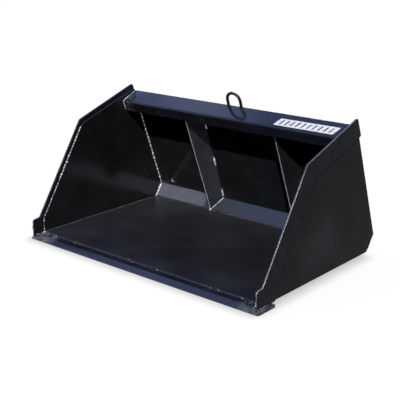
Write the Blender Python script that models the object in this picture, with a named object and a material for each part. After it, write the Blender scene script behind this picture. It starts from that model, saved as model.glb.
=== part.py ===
"""Skid steer bucket: welded steel plate bowl with a universal quick-attach back.

X runs across the bucket, Y from the cutting edge back to the machine, Z up.
The bucket stands flat on its cutting edge and heel bar at Z = 0.
"""
import math

import bmesh
import bpy
from mathutils import Matrix, Vector

for old_object in list(bpy.data.objects):
    bpy.data.objects.remove(old_object, do_unlink=True)

# Overall
CENTRE_X = 0.010
CENTRE_Y = 0.6164
WELD_GAP = 0.0003
SHEET = 0.0064
EDGE_BREAK = 0.0009

# Cutting edge
EDGE_LEFT = -0.888
EDGE_RIGHT = 0.908
EDGE_THICK = 0.016
EDGE_FRONT = -0.018
EDGE_REAR = 0.134
EDGE_NOSE = 0.002
BEVEL_DEPTH = 0.048
FRONT_RADIUS = 0.016
REAR_RADIUS = 0.010
HOLE_RADIUS = 0.009
HOLE_SINK = 0.003
HOLE_Y = 0.068
HOLE_X = (0.102, 0.545, 0.759)

# Floor and underside
FLOOR_BOTTOM = EDGE_THICK + WELD_GAP
FLOOR_TOP = FLOOR_BOTTOM + SHEET
FLOOR_FRONT = 0.080
FLOOR_REAR = 1.122
HEEL_HALF = 0.820
HEEL_WIDTH = 0.076
HEEL_REAR = 1.113
RUNNER_WIDTH = 0.076
RUNNER_X = 0.452

# Sides
STRIP_OUTER = 0.8825
STRIP_THICK = 0.0095
SIDE_OUTER = STRIP_OUTER - STRIP_THICK - WELD_GAP
SIDE_INNER = SIDE_OUTER - SHEET
BOWL_HALF = SIDE_INNER - WELD_GAP

# Rear sheet: inner corner above the heel, leaning forward going up
BACK_CORNER = Vector((1.1728, 0.1108))
BACK_LEAN = math.radians(20.0)
BACK_UP = Vector((-math.sin(BACK_LEAN), math.cos(BACK_LEAN)))
BACK_OUT = Vector((math.cos(BACK_LEAN), math.sin(BACK_LEAN)))
HEEL_INNER = Vector((1.1130, FLOOR_TOP + WELD_GAP))
HEEL_DOWN = (HEEL_INNER - BACK_CORNER).normalized()
HEEL_OUT = Vector((-HEEL_DOWN.y, HEEL_DOWN.x))

# Top lip, outer faces
LIP_REAR = Vector((0.927, 0.819))
LIP_BEND = Vector((0.807, 0.760))
LIP_LOW = Vector((0.835, 0.692))
LIP_ALONG = (LIP_BEND - LIP_REAR).normalized()
LIP_NORMAL = Vector((LIP_ALONG.y, -LIP_ALONG.x))
LIP_FACE = (LIP_LOW - LIP_BEND).normalized()
LIP_BEND_RADIUS = 0.012

# Stiffeners
RIB_X = 0.353
RIB_HALF = 0.071
RIB_GAP = 0.0008
RIB_TOP = Vector((0.851, 0.690))
RIB_FOOT = Vector((1.112, 0.023))
RIDGE_RADIUS = 0.009

# Lifting loop
LOOP_BAR = 0.0095
LOOP_HALF = 0.050
LOOP_RISE = 0.107
LOOP_BACK = 0.120
LOOP_X = 0.010
LOOP_LEAN = math.radians(18.0)

# Name mark plate on the lip
MARK_X = (0.362, 0.790)
MARK_DEPTH = (0.021, 0.088)
MARK_SLANT = 0.020
MARK_THICK = 0.0005

# Quick attach, measured up the rear sheet from its outer lower corner
ATTACH_HALF = 0.5725
ATTACH_PLATE = 0.0095
ATTACH_LOW = 0.012
ATTACH_HIGH = 0.469
HOOK_LENGTH = 0.064
HOOK_ANGLE = math.radians(45.0)
HOOK_THICK = 0.0095
HOOK_RELIEF = 0.0016
FLANGE_LENGTH = 0.075
FLANGE_THICK = 0.0127
FLANGE_DROP = math.radians(15.0)
FLANGE_UP = 0.030
SLOT_X = 0.5205
SLOT_LENGTH = 0.044
SLOT_WIDTH = 0.025
SLOT_OUT = 0.038
EAR_THICK = 0.0095
GUSSET_THICK = 0.0095
GUSSET_X = (-0.360, -0.120, 0.120, 0.360)


def steel_material(name, color, roughness):
    material = bpy.data.materials.new(name)
    material.use_nodes = True
    shader = material.node_tree.nodes["Principled BSDF"]
    shader.inputs["Base Color"].default_value = (*color, 1.0)
    shader.inputs["Roughness"].default_value = roughness
    shader.inputs["Metallic"].default_value = 0.0
    material.diffuse_color = (*color, 1.0)
    return material


def finish_object(name, mesh, color, roughness=0.35, edge_break=EDGE_BREAK):
    """Link a mesh as a named sub-part with its own material and broken edges."""
    mesh.transform(TO_ORIGIN)
    mesh.materials.append(steel_material(name, color, roughness))
    sub_part = bpy.data.objects.new(name, mesh)
    bpy.context.scene.collection.objects.link(sub_part)
    if edge_break > 0.0:
        bevel = sub_part.modifiers.new("broken_edges", "BEVEL")
        bevel.width = edge_break
        bevel.segments = 1
        bevel.limit_method = "ANGLE"
        bevel.angle_limit = math.radians(50.0)
    return sub_part


def prism_mesh(name, outline, axis, low, high):
    """Outline in the plane across the axis, pulled along it from low to high."""
    build = bmesh.new()
    placed = []
    for first, second in outline:
        if axis == "X":
            placed.append(build.verts.new((low, first, second)))
        else:
            placed.append(build.verts.new((first, second, low)))
    cap = build.faces.new(placed)
    pulled = bmesh.ops.extrude_face_region(build, geom=[cap])
    moved = [item for item in pulled["geom"] if isinstance(item, bmesh.types.BMVert)]
    step = Vector((high - low, 0.0, 0.0)) if axis == "X" else Vector((0.0, 0.0, high - low))
    bmesh.ops.translate(build, verts=moved, vec=step)
    bmesh.ops.recalc_face_normals(build, faces=build.faces)
    mesh = bpy.data.meshes.new(name)
    build.to_mesh(mesh)
    build.free()
    return mesh


def rounded(corners, radii, steps=5):
    """Outline with each corner turned into an arc of the given radius."""
    outline = []
    count = len(corners)
    for index, (corner, radius) in enumerate(zip(corners, radii)):
        here = Vector(corner)
        if radius <= 0.0:
            outline.append(here)
            continue
        before = (Vector(corners[index - 1]) - here).normalized()
        after = (Vector(corners[(index + 1) % count]) - here).normalized()
        half = before.angle(after) / 2.0
        centre = here + (before + after).normalized() * (radius / math.sin(half))
        start = (here + before * (radius / math.tan(half)) - centre).normalized()
        finish = (here + after * (radius / math.tan(half)) - centre).normalized()
        for step in range(steps + 1):
            outline.append(centre + start.slerp(finish, step / steps) * radius)
    return outline


def meet(point, direction, on_plane, normal):
    """Point where a line in the YZ plane crosses a face seen edge on."""
    travel = (on_plane - point).dot(normal) / direction.dot(normal)
    return point + direction * travel


def back_point(up, out):
    """Point on or behind the outer face of the rear sheet."""
    return BACK_OUTER_CORNER + BACK_UP * up + BACK_OUT * out


def add_cut(target, cutter):
    cutter.hide_render = True
    cutter.display_type = "WIRE"
    cut = target.modifiers.new(cutter.name, "BOOLEAN")
    cut.operation = "DIFFERENCE"
    cut.solver = "EXACT"
    cut.object = cutter


def cutter_from(name, mesh):
    mesh.transform(TO_ORIGIN)
    cutter = bpy.data.objects.new(name, mesh)
    bpy.context.scene.collection.objects.link(cutter)
    return cutter


TO_ORIGIN = Matrix.Translation((-CENTRE_X, -CENTRE_Y, 0.0))
BACK_OUTER_CORNER = meet(BACK_CORNER + BACK_OUT * SHEET, BACK_UP,
                         BACK_CORNER + HEEL_OUT * SHEET, HEEL_OUT)

PAINT = (0.012, 0.013, 0.018)
EDGE_PAINT = (0.016, 0.017, 0.025)
LIP_UNDER = LIP_REAR - LIP_NORMAL * (SHEET + WELD_GAP)


def build_cutting_edge():
    plan = [(EDGE_LEFT, EDGE_FRONT), (EDGE_RIGHT, EDGE_FRONT),
            (EDGE_RIGHT, EDGE_REAR), (EDGE_LEFT, EDGE_REAR)]
    outline = rounded(plan, [FRONT_RADIUS, FRONT_RADIUS, REAR_RADIUS, REAR_RADIUS])
    mesh = prism_mesh("cutting_edge", outline, "Z", 0.0, EDGE_THICK)
    edge = finish_object("cutting_edge", mesh, EDGE_PAINT, 0.3)
    over = 0.02
    slope = (EDGE_THICK - EDGE_NOSE) / BEVEL_DEPTH
    wedge = [(EDGE_FRONT - over, EDGE_NOSE - over * slope),
             (EDGE_FRONT + BEVEL_DEPTH + over, EDGE_THICK + over * slope),
             (EDGE_FRONT - over, EDGE_THICK + over * slope)]
    bevel = prism_mesh("bevel_cut", wedge, "X", EDGE_LEFT - over, EDGE_RIGHT + over)
    add_cut(edge, cutter_from("bevel_cut", bevel))
    hole_number = 0
    for side in (-1.0, 1.0):
        for offset in HOLE_X:
            hole_number += 1
            add_cut(edge, hole_cutter("hole_cut_%d" % hole_number, side * offset))
    return edge


def hole_cutter(name, x):
    """Straight drilled hole with a shallow countersink at the top."""
    rings = ((-0.01, HOLE_RADIUS), (EDGE_THICK - HOLE_SINK, HOLE_RADIUS),
             (EDGE_THICK, HOLE_RADIUS + HOLE_SINK),
             (EDGE_THICK + 0.01, HOLE_RADIUS + HOLE_SINK))
    sides = 24
    build = bmesh.new()
    loops = []
    for z, radius in rings:
        loop = []
        for index in range(sides):
            turn = 2.0 * math.pi * index / sides
            spot = (x + radius * math.cos(turn), HOLE_Y + radius * math.sin(turn), z)
            loop.append(build.verts.new(spot))
        loops.append(loop)
    for lower, upper in zip(loops, loops[1:]):
        for index in range(sides):
            follow = (index + 1) % sides
            build.faces.new((lower[index], lower[follow], upper[follow], upper[index]))
    build.faces.new(loops[0])
    build.faces.new(loops[-1])
    bmesh.ops.recalc_face_normals(build, faces=build.faces)
    mesh = bpy.data.meshes.new(name)
    build.to_mesh(mesh)
    build.free()
    return cutter_from(name, mesh)


def flat_bar(name, x_low, x_high, y_low, y_high, z_low, z_high, radius, color):
    plan = [(x_low, y_low), (x_high, y_low), (x_high, y_high), (x_low, y_high)]
    mesh = prism_mesh(name, rounded(plan, [radius] * 4), "Z", z_low, z_high)
    return finish_object(name, mesh, color)


def build_underside():
    flat_bar("floor_plate", -BOWL_HALF, BOWL_HALF, FLOOR_FRONT, FLOOR_REAR,
             FLOOR_BOTTOM, FLOOR_TOP, 0.0, PAINT)
    heel_front = HEEL_REAR - HEEL_WIDTH
    flat_bar("heel_wear_bar", -HEEL_HALF, HEEL_HALF, heel_front, HEEL_REAR,
             0.0, EDGE_THICK, 0.004, PAINT)
    for side, word in ((-1.0, "left"), (1.0, "right")):
        middle = side * RUNNER_X
        flat_bar("wear_runner_" + word, middle - RUNNER_WIDTH / 2.0,
                 middle + RUNNER_WIDTH / 2.0, EDGE_REAR + WELD_GAP,
                 heel_front - WELD_GAP, 0.0, EDGE_THICK, 0.006, PAINT)


def build_rear_sheet():
    top_inner = meet(BACK_CORNER, BACK_UP, LIP_UNDER, LIP_NORMAL)
    top_outer = meet(BACK_OUTER_CORNER, BACK_UP, LIP_UNDER, LIP_NORMAL)
    low_outer = meet(BACK_OUTER_CORNER, HEEL_DOWN, HEEL_INNER, Vector((0.0, 1.0)))
    corners = [HEEL_INNER, low_outer, BACK_OUTER_CORNER, top_outer, top_inner, BACK_CORNER]
    outline = rounded(corners, [0.0, 0.0, 0.006 + SHEET, 0.0, 0.0, 0.006])
    mesh = prism_mesh("rear_sheet", outline, "X", -BOWL_HALF, BOWL_HALF)
    finish_object("rear_sheet", mesh, PAINT)


def build_top_lip():
    face_in = Vector((-LIP_FACE.y, LIP_FACE.x)) * SHEET
    under = -LIP_NORMAL * SHEET
    inner_bend = meet(LIP_REAR + under, LIP_ALONG, LIP_LOW + face_in, face_in)
    corners = [LIP_REAR, LIP_BEND, LIP_LOW, LIP_LOW + face_in, inner_bend, LIP_REAR + under]
    inner_radius = LIP_BEND_RADIUS - SHEET
    outline = rounded(corners, [0.0, LIP_BEND_RADIUS, 0.0, 0.0, inner_radius, 0.0])
    mesh = prism_mesh("top_lip", outline, "X", -BOWL_HALF, BOWL_HALF)
    finish_object("top_lip", mesh, EDGE_PAINT)


def build_sides():
    bottom = FLOOR_BOTTOM
    top_rear = meet(Vector((0.434, 0.666)), Vector((0.943, 0.332)),
                    BACK_OUTER_CORNER, BACK_OUT)
    plate_corners = [(0.085, bottom), (0.086, 0.115), (0.434, 0.666), top_rear,
                     BACK_OUTER_CORNER, (1.104, bottom)]
    plate = rounded(plate_corners, [0.0, 0.02, 0.03, 0.015, 0.008, 0.004])
    nose_low = EDGE_NOSE - EDGE_FRONT * (EDGE_THICK - EDGE_NOSE) / BEVEL_DEPTH + WELD_GAP
    strip_corners = [(0.0, nose_low), (0.0, 0.108), (0.011, 0.1185), (0.053, 0.124),
                     (0.420, 0.696), (0.905, 0.867), (0.951, 0.757), (0.498, 0.5975),
                     (0.166, 0.080), (0.161, bottom), (EDGE_FRONT + BEVEL_DEPTH, bottom)]
    strip_radii = [0.0, 0.004, 0.004, 0.012, 0.020, 0.015, 0.012, 0.045, 0.03, 0.0, 0.0]
    strip = rounded(strip_corners, strip_radii)
    for side, word in ((-1.0, "left"), (1.0, "right")):
        low, high = sorted((side * SIDE_INNER, side * SIDE_OUTER))
        mesh = prism_mesh("side_plate_" + word, plate, "X", low, high)
        finish_object("side_plate_" + word, mesh, PAINT)
        low, high = sorted((side * (STRIP_OUTER - STRIP_THICK), side * STRIP_OUTER))
        mesh = prism_mesh("side_strip_" + word, strip, "X", low, high)
        finish_object("side_strip_" + word, mesh, PAINT)


def rib_depth(up):
    """Depth of the stiffener's ridge ahead of the rear sheet, at a height up it."""
    foot = RIB_FOOT - BACK_CORNER
    top = RIB_TOP - BACK_CORNER
    share = (up - foot.dot(BACK_UP)) / (top.dot(BACK_UP) - foot.dot(BACK_UP))
    return -foot.dot(BACK_OUT) * (1.0 - share) - top.dot(BACK_OUT) * share


def build_stiffeners():
    middle_depth = rib_depth(0.30)
    half_angle = math.atan2(RIB_HALF, middle_depth)
    inner_depth = middle_depth - SHEET / math.sin(half_angle)
    inner_half = RIB_HALF - SHEET / math.cos(half_angle)
    section = rounded([(-RIB_HALF, 0.0), (0.0, middle_depth), (RIB_HALF, 0.0),
                       (inner_half, 0.0), (0.0, inner_depth), (-inner_half, 0.0)],
                      [0.0, RIDGE_RADIUS, 0.0, 0.0, RIDGE_RADIUS - SHEET, 0.0])
    heel_face = BACK_CORNER - HEEL_OUT * RIB_GAP
    stations = (0.0, 0.6)
    for side, word in ((-1.0, "left"), (1.0, "right")):
        build = bmesh.new()
        foot_ring = []
        top_ring = []
        for across, depth in section:
            ends = []
            for up in stations:
                scaled = RIB_GAP + depth / middle_depth * rib_depth(up)
                ends.append(BACK_CORNER + BACK_UP * up - BACK_OUT * scaled)
            along = ends[1] - ends[0]
            foot = meet(ends[0], along, heel_face, HEEL_OUT)
            top = meet(ends[0], along, LIP_UNDER, LIP_NORMAL)
            x = side * RIB_X + across
            foot_ring.append(build.verts.new((x, foot.x, foot.y)))
            top_ring.append(build.verts.new((x, top.x, top.y)))
        count = len(section)
        for index in range(count):
            follow = (index + 1) % count
            build.faces.new((foot_ring[index], foot_ring[follow],
                             top_ring[follow], top_ring[index]))
        build.faces.new(foot_ring)
        build.faces.new(top_ring)
        bmesh.ops.recalc_face_normals(build, faces=build.faces)
        mesh = bpy.data.meshes.new("stiffener_" + word)
        build.to_mesh(mesh)
        build.free()
        finish_object("stiffener_" + word, mesh, PAINT)


def build_lifting_loop():
    base = LIP_BEND - LIP_ALONG * LOOP_BACK
    upward = Vector((-math.sin(LOOP_LEAN), math.cos(LOOP_LEAN)))
    straight = LOOP_RISE - LOOP_BAR - LOOP_HALF
    foot = LOOP_BAR * math.tan(upward.angle(LIP_NORMAL)) + WELD_GAP
    path = [(-LOOP_HALF, foot)]
    arc_steps = 16
    for step in range(arc_steps + 1):
        turn = math.pi * (1.0 - step / arc_steps)
        path.append((LOOP_HALF * math.cos(turn), straight + LOOP_HALF * math.sin(turn)))
    path.append((LOOP_HALF, foot))
    curve = bpy.data.curves.new("lifting_loop_path", "CURVE")
    curve.dimensions = "3D"
    curve.bevel_depth = LOOP_BAR
    curve.bevel_resolution = 4
    curve.use_fill_caps = True
    spline = curve.splines.new("POLY")
    spline.points.add(len(path) - 1)
    for point, (across, up) in zip(spline.points, path):
        spot = base + upward * up
        point.co = (LOOP_X + across, spot.x, spot.y, 1.0)
    holder = bpy.data.objects.new("lifting_loop_path", curve)
    bpy.context.scene.collection.objects.link(holder)
    bpy.context.view_layer.update()
    seen = holder.evaluated_get(bpy.context.evaluated_depsgraph_get())
    mesh = bpy.data.meshes.new_from_object(seen)
    mesh.name = "lifting_loop"
    bpy.data.objects.remove(holder, do_unlink=True)
    build = bmesh.new()
    build.from_mesh(mesh)
    bmesh.ops.remove_doubles(build, verts=build.verts, dist=0.00001)
    bmesh.ops.recalc_face_normals(build, faces=build.faces)
    build.to_mesh(mesh)
    build.free()
    loop = finish_object("lifting_loop", mesh, PAINT, 0.35, 0.0)
    loop.data.shade_smooth()
    loop.data.set_sharp_from_angle(angle=math.radians(40.0))


def build_name_mark():
    """Thin plain sign plate on the lip's sloping top."""
    corners = [(MARK_X[0], MARK_DEPTH[0]), (MARK_X[1] - MARK_SLANT, MARK_DEPTH[0]),
               (MARK_X[1], MARK_DEPTH[1]), (MARK_X[0] + MARK_SLANT, MARK_DEPTH[1])]
    build = bmesh.new()
    rings = []
    for rise in (WELD_GAP, WELD_GAP + MARK_THICK):
        ring = []
        for x, depth in corners:
            spot = LIP_BEND - LIP_ALONG * depth + LIP_NORMAL * rise
            ring.append(build.verts.new((x, spot.x, spot.y)))
        rings.append(ring)
    for index in range(4):
        follow = (index + 1) % 4
        build.faces.new((rings[0][index], rings[0][follow],
                         rings[1][follow], rings[1][index]))
    build.faces.new(rings[0])
    build.faces.new(rings[1])
    bmesh.ops.recalc_face_normals(build, faces=build.faces)
    mesh = bpy.data.meshes.new("name_mark")
    build.to_mesh(mesh)
    build.free()
    finish_object("name_mark", mesh, (0.75, 0.75, 0.76), 0.4, 0.0)


def build_attach_plate():
    corners = [back_point(ATTACH_LOW, WELD_GAP), back_point(ATTACH_HIGH, WELD_GAP),
               back_point(ATTACH_HIGH, WELD_GAP + ATTACH_PLATE),
               back_point(ATTACH_LOW, WELD_GAP + ATTACH_PLATE)]
    mesh = prism_mesh("attach_plate", corners, "X", -ATTACH_HALF, ATTACH_HALF)
    finish_object("attach_plate", mesh, PAINT)


def hook_points():
    """Root, tip and upward face direction of the hook bar, in the YZ plane."""
    outward = BACK_OUT * math.cos(HOOK_ANGLE) - BACK_UP * math.sin(HOOK_ANGLE)
    above = BACK_OUT * math.sin(HOOK_ANGLE) + BACK_UP * math.cos(HOOK_ANGLE)
    root = back_point(ATTACH_HIGH, ATTACH_PLATE + 2.0 * WELD_GAP)
    return root, root + outward * HOOK_LENGTH, above


def build_hook():
    root, tip, above = hook_points()
    relieved = root + BACK_OUT * HOOK_RELIEF
    root_under = meet(root - above * HOOK_THICK, tip - root, relieved, BACK_OUT)
    corners = [root, tip, tip - above * HOOK_THICK, root_under]
    mesh = prism_mesh("attach_hook", corners, "X", -ATTACH_HALF, ATTACH_HALF)
    finish_object("attach_hook", mesh, PAINT)


def flange_points():
    """Root and outward direction of the lower flange's top face."""
    outward = BACK_OUT * math.cos(FLANGE_DROP) - BACK_UP * math.sin(FLANGE_DROP)
    above = BACK_OUT * math.sin(FLANGE_DROP) + BACK_UP * math.cos(FLANGE_DROP)
    root = back_point(ATTACH_LOW + FLANGE_UP, ATTACH_PLATE + 2.0 * WELD_GAP)
    return root, outward, above


def build_lower_flange():
    root, outward, above = flange_points()
    tip = root + outward * FLANGE_LENGTH
    root_under = meet(root - above * FLANGE_THICK, outward, root, BACK_OUT)
    corners = [root, tip, tip - above * FLANGE_THICK, root_under]
    mesh = prism_mesh("attach_lower_flange", corners, "X", -ATTACH_HALF, ATTACH_HALF)
    flange = finish_object("attach_lower_flange", mesh, PAINT)
    for number, x in enumerate((-SLOT_X, SLOT_X), start=1):
        plan = [(x - SLOT_LENGTH / 2.0, -SLOT_WIDTH / 2.0),
                (x + SLOT_LENGTH / 2.0, -SLOT_WIDTH / 2.0),
                (x + SLOT_LENGTH / 2.0, SLOT_WIDTH / 2.0),
                (x - SLOT_LENGTH / 2.0, SLOT_WIDTH / 2.0)]
        slot = prism_mesh("slot_cut_%d" % number, rounded(plan, [0.005] * 4), "Z", -0.05, 0.05)
        middle = root + outward * SLOT_OUT
        tilt = math.atan2(outward.y, outward.x)
        slot.transform(Matrix.Rotation(tilt, 4, "X"))
        slot.transform(Matrix.Translation((0.0, middle.x, middle.y)))
        add_cut(flange, cutter_from("slot_cut_%d" % number, slot))


def build_attach_ears():
    """End plates that close the hook and the lower flange at both ends."""
    root, outward, above = flange_points()
    flange_tip = root + outward * FLANGE_LENGTH
    _, hook_tip, hook_above = hook_points()
    corners = [back_point(ATTACH_LOW, WELD_GAP), back_point(ATTACH_HIGH + 0.030, WELD_GAP),
               hook_tip + hook_above * 0.004, hook_tip - hook_above * (HOOK_THICK + 0.006),
               back_point(ATTACH_HIGH - 0.095, 0.030), back_point(ATTACH_LOW + 0.095, 0.030),
               flange_tip + above * 0.006, flange_tip - above * (FLANGE_THICK + 0.004)]
    outline = rounded(corners, [0.0, 0.010, 0.006, 0.006, 0.025, 0.025, 0.006, 0.006])
    for side, word in ((-1.0, "left"), (1.0, "right")):
        inner = ATTACH_HALF + WELD_GAP
        low, high = sorted((side * inner, side * (inner + EAR_THICK)))
        mesh = prism_mesh("attach_ear_" + word, outline, "X", low, high)
        finish_object("attach_ear_" + word, mesh, PAINT)


def build_gussets():
    hook_root, hook_tip, above = hook_points()
    on_hook = hook_root + (hook_tip - hook_root) * 0.12 + above * WELD_GAP
    hook_far = hook_root + (hook_tip - hook_root) * 0.80 + above * WELD_GAP
    plate_top = back_point(ATTACH_HIGH + WELD_GAP, WELD_GAP)
    upper = [plate_top, back_point(ATTACH_HIGH + 0.075, WELD_GAP),
             back_point(ATTACH_HIGH + 0.075, 0.012), hook_far, on_hook,
             back_point(ATTACH_HIGH + WELD_GAP, ATTACH_PLATE + 0.002)]
    root, outward, flange_above = flange_points()
    under = -flange_above * (FLANGE_THICK + WELD_GAP)
    heel_gap = HEEL_OUT * WELD_GAP
    lower = [root + outward * 0.004 + under, root + outward * 0.060 + under,
             BACK_OUTER_CORNER + HEEL_DOWN * 0.075 + heel_gap + HEEL_OUT * 0.012,
             BACK_OUTER_CORNER + HEEL_DOWN * 0.075 + heel_gap,
             BACK_OUTER_CORNER + (HEEL_OUT + BACK_OUT) * WELD_GAP,
             back_point(ATTACH_LOW - 0.001, 0.001),
             back_point(ATTACH_LOW - 0.001, ATTACH_PLATE + 0.001)]
    for number, x in enumerate(GUSSET_X, start=1):
        low = x - GUSSET_THICK / 2.0
        mesh = prism_mesh("hook_gusset_%d" % number, upper, "X", low, low + GUSSET_THICK)
        finish_object("hook_gusset_%d" % number, mesh, PAINT)
        mesh = prism_mesh("lower_gusset_%d" % number, lower, "X", low, low + GUSSET_THICK)
        finish_object("lower_gusset_%d" % number, mesh, PAINT)


build_cutting_edge()
build_underside()
build_rear_sheet()
build_top_lip()
build_sides()
build_stiffeners()
build_lifting_loop()
build_name_mark()
build_attach_plate()
build_hook()
build_lower_flange()
build_attach_ears()
build_gussets()
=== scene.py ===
"""Looks, welds and studio for the skid steer bucket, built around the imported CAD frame."""

import math
import random

import bpy
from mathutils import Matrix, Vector


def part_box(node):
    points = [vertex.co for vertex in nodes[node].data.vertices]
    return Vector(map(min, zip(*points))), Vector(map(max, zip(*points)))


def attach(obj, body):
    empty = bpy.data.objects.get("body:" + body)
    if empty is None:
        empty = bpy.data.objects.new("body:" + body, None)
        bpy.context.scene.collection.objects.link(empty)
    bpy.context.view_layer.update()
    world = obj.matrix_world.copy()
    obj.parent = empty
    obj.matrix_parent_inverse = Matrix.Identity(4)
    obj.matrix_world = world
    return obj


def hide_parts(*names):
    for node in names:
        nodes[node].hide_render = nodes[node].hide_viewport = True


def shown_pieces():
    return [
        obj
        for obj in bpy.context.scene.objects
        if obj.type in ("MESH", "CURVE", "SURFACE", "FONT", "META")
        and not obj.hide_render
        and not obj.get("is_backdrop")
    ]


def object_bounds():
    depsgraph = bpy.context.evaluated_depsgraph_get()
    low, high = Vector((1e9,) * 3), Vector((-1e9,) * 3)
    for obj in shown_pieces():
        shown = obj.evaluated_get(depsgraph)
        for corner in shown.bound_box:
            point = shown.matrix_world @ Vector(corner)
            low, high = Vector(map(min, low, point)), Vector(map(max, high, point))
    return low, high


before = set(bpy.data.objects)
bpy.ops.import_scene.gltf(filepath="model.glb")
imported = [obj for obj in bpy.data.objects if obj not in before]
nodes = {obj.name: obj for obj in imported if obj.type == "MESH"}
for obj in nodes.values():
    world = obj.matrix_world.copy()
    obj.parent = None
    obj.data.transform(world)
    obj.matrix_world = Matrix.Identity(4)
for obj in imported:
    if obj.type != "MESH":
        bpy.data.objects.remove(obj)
cad_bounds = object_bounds()
scene = bpy.context.scene
rng = random.Random(7)


# ---------------------------------------------------------------- where things are
def profile(y, z):
    """A point of the bowl's side profile."""
    return Vector((0.0, y, z))


# The bowl's own axes: x = 0 at its middle, y = 0 at the toe of the side strips, z = 0 ground.
FLOOR_FRONT = 0.080
floor_low, floor_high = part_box("floor_plate")
ORIGIN = Vector(((floor_low.x + floor_high.x) / 2.0, floor_low.y - FLOOR_FRONT, 0.0))
WALL_X = (floor_high.x - floor_low.x) / 2.0
FLOOR_TOP = floor_high.z
FLOOR_REAR = floor_high.y - ORIGIN.y
EDGE_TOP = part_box("cutting_edge")[1].z
SHEET = FLOOR_TOP - floor_low.z
PLATE_X = WALL_X + SHEET
STRIP_HALF = 0.0048
STRIP_MIDDLE = PLATE_X + STRIP_HALF
EDGE_BEAD_X = WALL_X + 0.0045
JOINT_GAP = 0.0003
BEAD_INSET = 0.0012
INSET_X = WALL_X + JOINT_GAP - BEAD_INSET
BEYOND = 0.95
HANDS = ((-1.0, "left"), (1.0, "right"))

# Rear sheet, leaning forward above the heel slope.
LEAN = math.radians(20.0)
BACK_UP = profile(-math.sin(LEAN), math.cos(LEAN))
BACK_OUT = profile(math.cos(LEAN), math.sin(LEAN))
BACK_CORNER = profile(1.1728, 0.1108)
BACK_TOP = BACK_CORNER + BACK_UP * 0.712
BACK_OUTER = profile(1.17994, 0.10991)
HEEL_FOOT = profile(1.1130, FLOOR_TOP)
HEEL_DOWN = (HEEL_FOOT - BACK_CORNER).normalized()

# Top lip, along its outer faces.
LIP_REAR = profile(0.927, 0.819)
LIP_BEND = profile(0.807, 0.760)
LIP_LOW = profile(0.835, 0.692)
LIP_ALONG = (LIP_BEND - LIP_REAR).normalized()
LIP_NORMAL = profile(LIP_ALONG.z, -LIP_ALONG.y)

# Stiffeners, bolt holes and the right strip's slanted front face.
RIB_X = 0.353
RIB_HALF = 0.071
RIB_FOOT = profile(1.112, 0.023)
HOLE_X = (0.102, 0.545, 0.759)
SLANT_LOW = 0.088
SLANT_HIGH = 0.640
STRIP_TOP = 0.86
HOLE_CLEAR = 0.026
GUSSETS = range(1, 5)


def at(x, y, z):
    """A point given on the bowl's own axes, in the row frame."""
    return Vector((x, y, z)) + ORIGIN


def on(x, point):
    """A point of the bowl's side profile, at x, in the row frame."""
    return Vector((x, point.y, point.z)) + ORIGIN


def back(x, up, out):
    """A point by its place on the outside of the rear sheet."""
    return on(x, BACK_OUTER + BACK_UP * up + BACK_OUT * out)


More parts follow.
